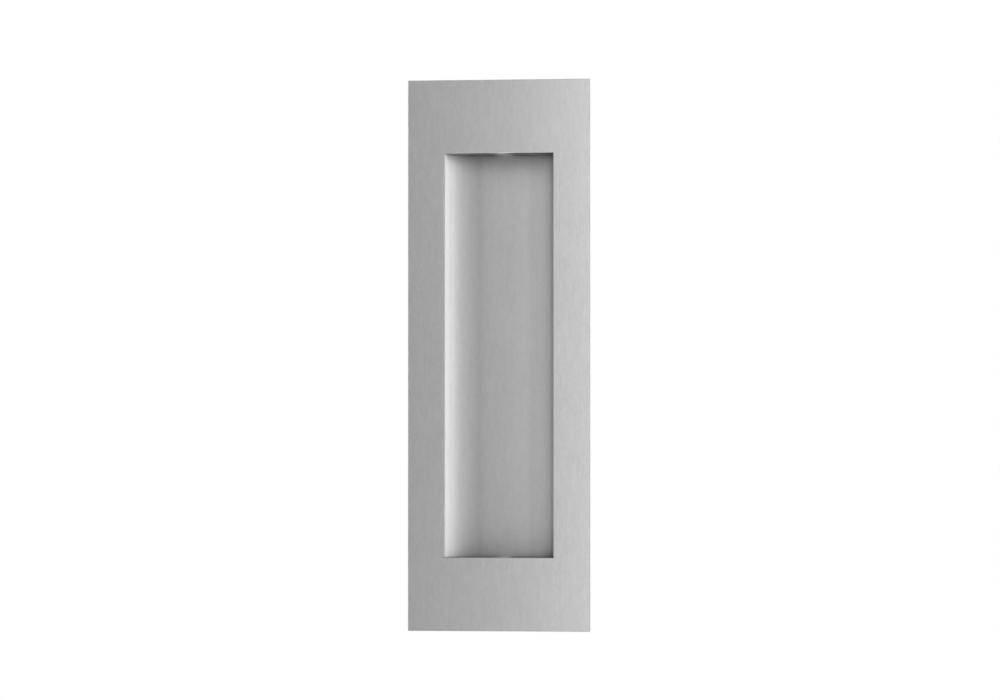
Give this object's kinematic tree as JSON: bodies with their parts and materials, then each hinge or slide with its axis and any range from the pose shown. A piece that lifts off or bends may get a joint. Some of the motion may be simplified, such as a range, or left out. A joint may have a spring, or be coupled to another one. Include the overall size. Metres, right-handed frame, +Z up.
{
  "type": "flush pull",
  "caption": "Rectangular flush pull for a pocket door: a flat brushed steel face plate with a sharp-cornered window over a coved finger recess.",
  "frame": {"origin": "middle of the face plate's back, in the plane of the door's face", "axes": "+Z up the door along the pull's length, +Y into the door, so the front looks along -Y, and +X to the right as seen from the front"},
  "size_m": [0.05, 0.0152, 0.15],
  "materials": {
    "face_steel": "satin, grain running up the plate",
    "recess_steel": "satin, grain running along the trough"
  },
  "bodies": {
    "root": {"face_plate": "face_steel", "recess_trough": "recess_steel", "upper_end_plate": "recess_steel", "lower_end_plate": "recess_steel"}
  },
  "joints": []
}
